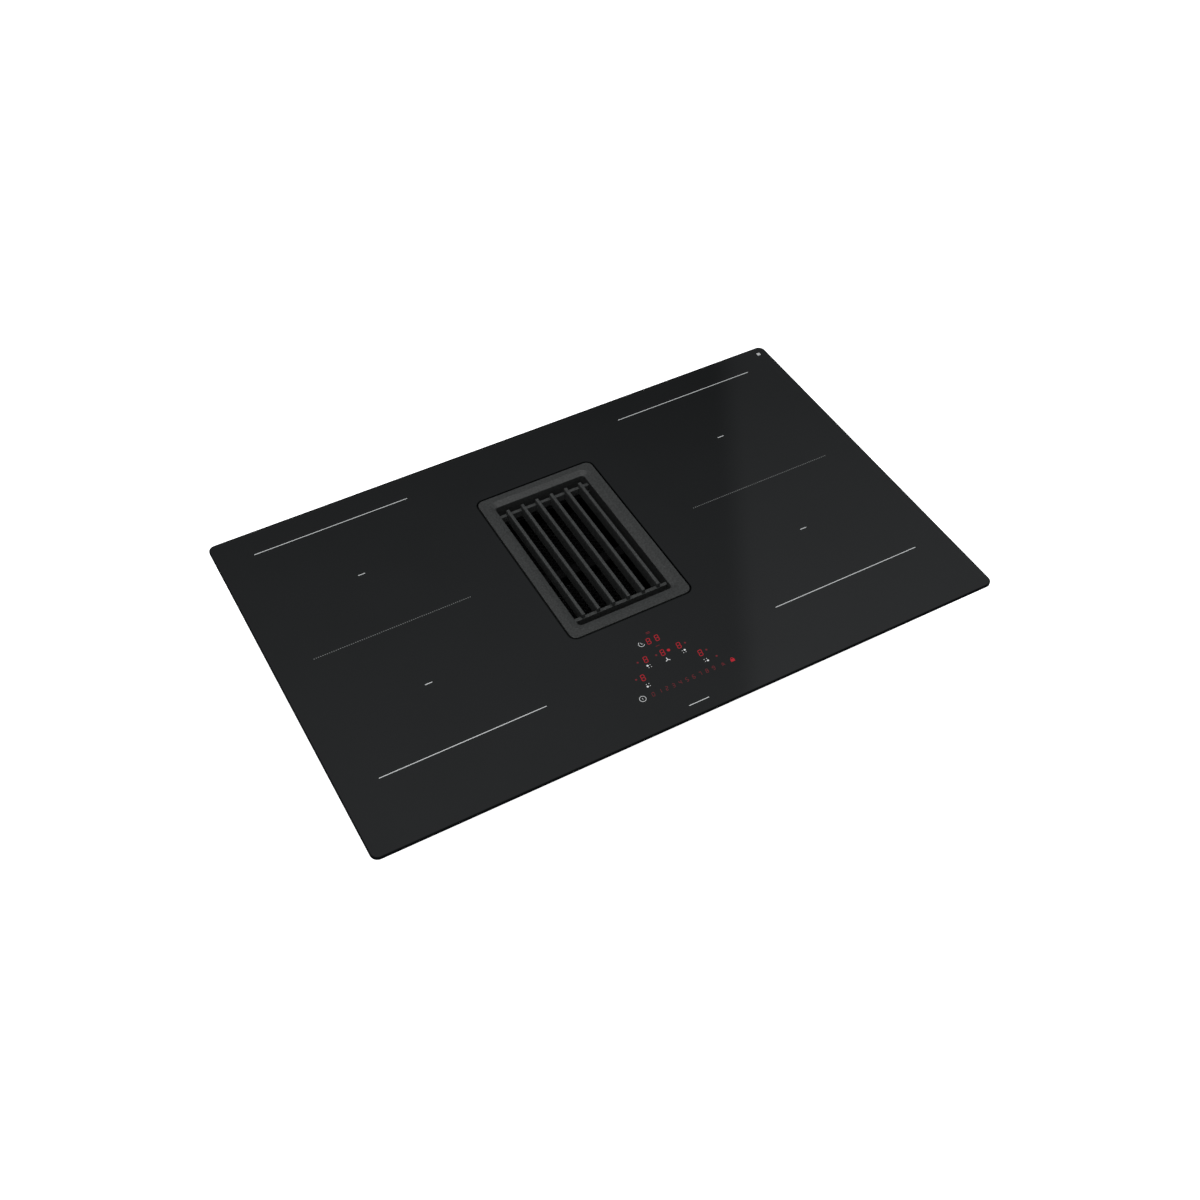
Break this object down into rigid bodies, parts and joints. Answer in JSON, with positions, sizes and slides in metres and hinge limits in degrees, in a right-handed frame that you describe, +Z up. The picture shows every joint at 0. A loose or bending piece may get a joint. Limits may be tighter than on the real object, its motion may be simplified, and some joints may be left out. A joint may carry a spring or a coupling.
{
  "type": "electric induction cooktop",
  "caption": "Flush black glass induction hob with touch controls and a central slatted downdraft vent over a blower housing with a flat rear duct outlet.",
  "frame": {"origin": "centre of the glass in plan, at the underside of the air housing", "axes": "+X to the user's right along the long side, +Y away from the user, +Z up"},
  "size_m": [0.83, 0.52, 0.2163],
  "materials": {
    "ceramic_glass": "polished black glass-ceramic",
    "trim_black": "fine matte black coating",
    "grille_black": "fine matte black coating",
    "foam_seal": "closed-cell foam strip",
    "silicone_seal": "cured silicone",
    "frame_aluminium": "mill finish",
    "tray_steel": "galvanised sheet",
    "zinc_screw": "bright zinc plate",
    "housing_plastic": "moulded black polypropylene",
    "basin_plastic": "moulded dark grey plastic",
    "filter_plastic": "moulded dark plastic",
    "filter_mesh_black": "black-coated layers of expanded mesh",
    "impeller_plastic": "moulded fibre-filled plastic",
    "motor_metal": "grey powder coat",
    "rubber_bush": "moulded rubber",
    "bearing_steel": "ground steel",
    "motor_iron": "stacked sheet",
    "duct_plastic": "moulded black plastic",
    "flap_plastic": "moulded light grey plastic",
    "coil_copper": "enamelled litz wire",
    "carrier_plastic": "heat-resistant moulding",
    "ferrite": "sintered ferrite",
    "sensor_silicone": "white silicone pad",
    "insulation": "ceramic-fibre mat",
    "sheet_aluminium": "plain sheet",
    "post_plastic": "moulded nylon",
    "circuit_board": "solder-masked laminate",
    "heat_sink_aluminium": "extruded",
    "component_plastic": "sleeved capacitors and moulded parts",
    "fan_plastic": "moulded black plastic",
    "display_window": "smoked display module",
    "pad_foam": "conductive foam",
    "terminal_plastic": "moulded pale plastic",
    "clamp_steel": "zinc-plated steel"
  },
  "bodies": {
    "hob": {"blower_scroll_inlet": "housing_plastic", "blower_scroll_motor": "housing_plastic", "board_components": "component_plastic", "cable_gland": "duct_plastic", "case_screws": "zinc_screw", "casing_tray": "tray_steel", "clamp_screws": "zinc_screw", "coil_carriers": "carrier_plastic", "coil_front_left": "coil_copper", "coil_front_right": "coil_copper", "coil_plate_left": "sheet_aluminium", "coil_plate_right": "sheet_aluminium", "coil_rear_left": "coil_copper", "coil_rear_right": "coil_copper", "collector_housing": "housing_plastic", "collector_screws": "zinc_screw", "control_board": "circuit_board", "control_holder": "post_plastic", "cooling_fan_housing_left": "fan_plastic", "cooling_fan_housing_right": "fan_plastic", "digit_displays": "display_window", "ferrite_bars": "ferrite", "flap_pin": "bearing_steel", "glass_frame": "frame_aluminium", "glass_top": "ceramic_glass", "heat_sink_left": "heat_sink_aluminium", "heat_sink_right": "heat_sink_aluminium", "insulation_mats": "insulation", "intake_shaft": "housing_plastic", "motor_bearings": "bearing_steel", "motor_case": "motor_metal", "motor_mounts": "rubber_bush", "motor_stator": "motor_iron", "outlet_diffuser": "duct_plastic", "outlet_spigot": "duct_plastic", "perimeter_seal": "foam_seal", "plate_posts": "post_plastic", "power_board_left": "circuit_board", "power_board_right": "circuit_board", "shaft_seal": "silicone_seal", "temperature_sensors": "sensor_silicone", "terminal_block": "terminal_plastic", "terminal_box": "housing_plastic", "terminal_cover": "housing_plastic", "touch_pads": "pad_foam", "vent_trim": "trim_black"},
    "grille": {"grille_slats": "grille_black", "grille_crossbars": "grille_black"},
    "grease_filter": {"filter_frame": "filter_plastic", "filter_mesh": "filter_mesh_black"},
    "drip_drawer": {"drip_tray": "basin_plastic"},
    "blower_wheel": {"impeller": "impeller_plastic", "motor_rotor": "motor_iron"},
    "fan_wheel_left": {"cooling_fan_rotor_left": "fan_plastic"},
    "fan_wheel_right": {"cooling_fan_rotor_right": "fan_plastic"},
    "flap": {"backdraft_flap": "flap_plastic"},
    "clamp_arm_front_left": {"clamp_front_left": "clamp_steel"},
    "clamp_arm_rear_left": {"clamp_rear_left": "clamp_steel"},
    "clamp_arm_front_right": {"clamp_front_right": "clamp_steel"},
    "clamp_arm_rear_right": {"clamp_rear_right": "clamp_steel"}
  },
  "joints": [
    {"name": "grille_lift", "type": "slide", "parent": "hob", "child": "grille", "axis": [0, 0, 1], "range_m": [0, 0.2]},
    {"name": "filter_lift", "type": "slide", "parent": "hob", "child": "grease_filter", "axis": [0, 0, 1], "range_m": [0, 0.1]},
    {"name": "drip_tray_slide", "type": "slide", "parent": "hob", "child": "drip_drawer", "axis": [0, -1, 0], "range_m": [0, 0.2]},
    {"name": "impeller_spin", "type": "hinge", "parent": "hob", "child": "blower_wheel", "pos_m": [0.15, 0.01, 0.078], "axis": [1, 0, 0], "continuous": true},
    {"name": "fan_left_spin", "type": "hinge", "parent": "hob", "child": "fan_wheel_left", "pos_m": [-0.262, -0.162, 0.18], "axis": [0, 0, 1], "continuous": true},
    {"name": "fan_right_spin", "type": "hinge", "parent": "hob", "child": "fan_wheel_right", "pos_m": [0.262, -0.162, 0.18], "axis": [0, 0, 1], "continuous": true},
    {"name": "flap_swing", "type": "hinge", "parent": "hob", "child": "flap", "pos_m": [0.059, 0.242, 0.1454], "axis": [1, 0, 0], "range_deg": [0, 75]},
    {"name": "clamp_front_left_turn", "type": "hinge", "parent": "hob", "child": "clamp_arm_front_left", "pos_m": [-0.397, -0.15, 0.1757], "axis": [0, 0, 1], "range_deg": [0, 90]},
    {"name": "clamp_rear_left_turn", "type": "hinge", "parent": "hob", "child": "clamp_arm_rear_left", "pos_m": [-0.397, 0.17, 0.1757], "axis": [0, 0, 1], "range_deg": [0, 90]},
    {"name": "clamp_front_right_turn", "type": "hinge", "parent": "hob", "child": "clamp_arm_front_right", "pos_m": [0.397, -0.15, 0.1757], "axis": [0, 0, -1], "range_deg": [0, 90]},
    {"name": "clamp_rear_right_turn", "type": "hinge", "parent": "hob", "child": "clamp_arm_rear_right", "pos_m": [0.397, 0.17, 0.1757], "axis": [0, 0, -1], "range_deg": [0, 90]}
  ],
  "couplings": [
    {"joint": "filter_lift", "follows": "grille_lift", "ratio": 0.5}
  ]
}
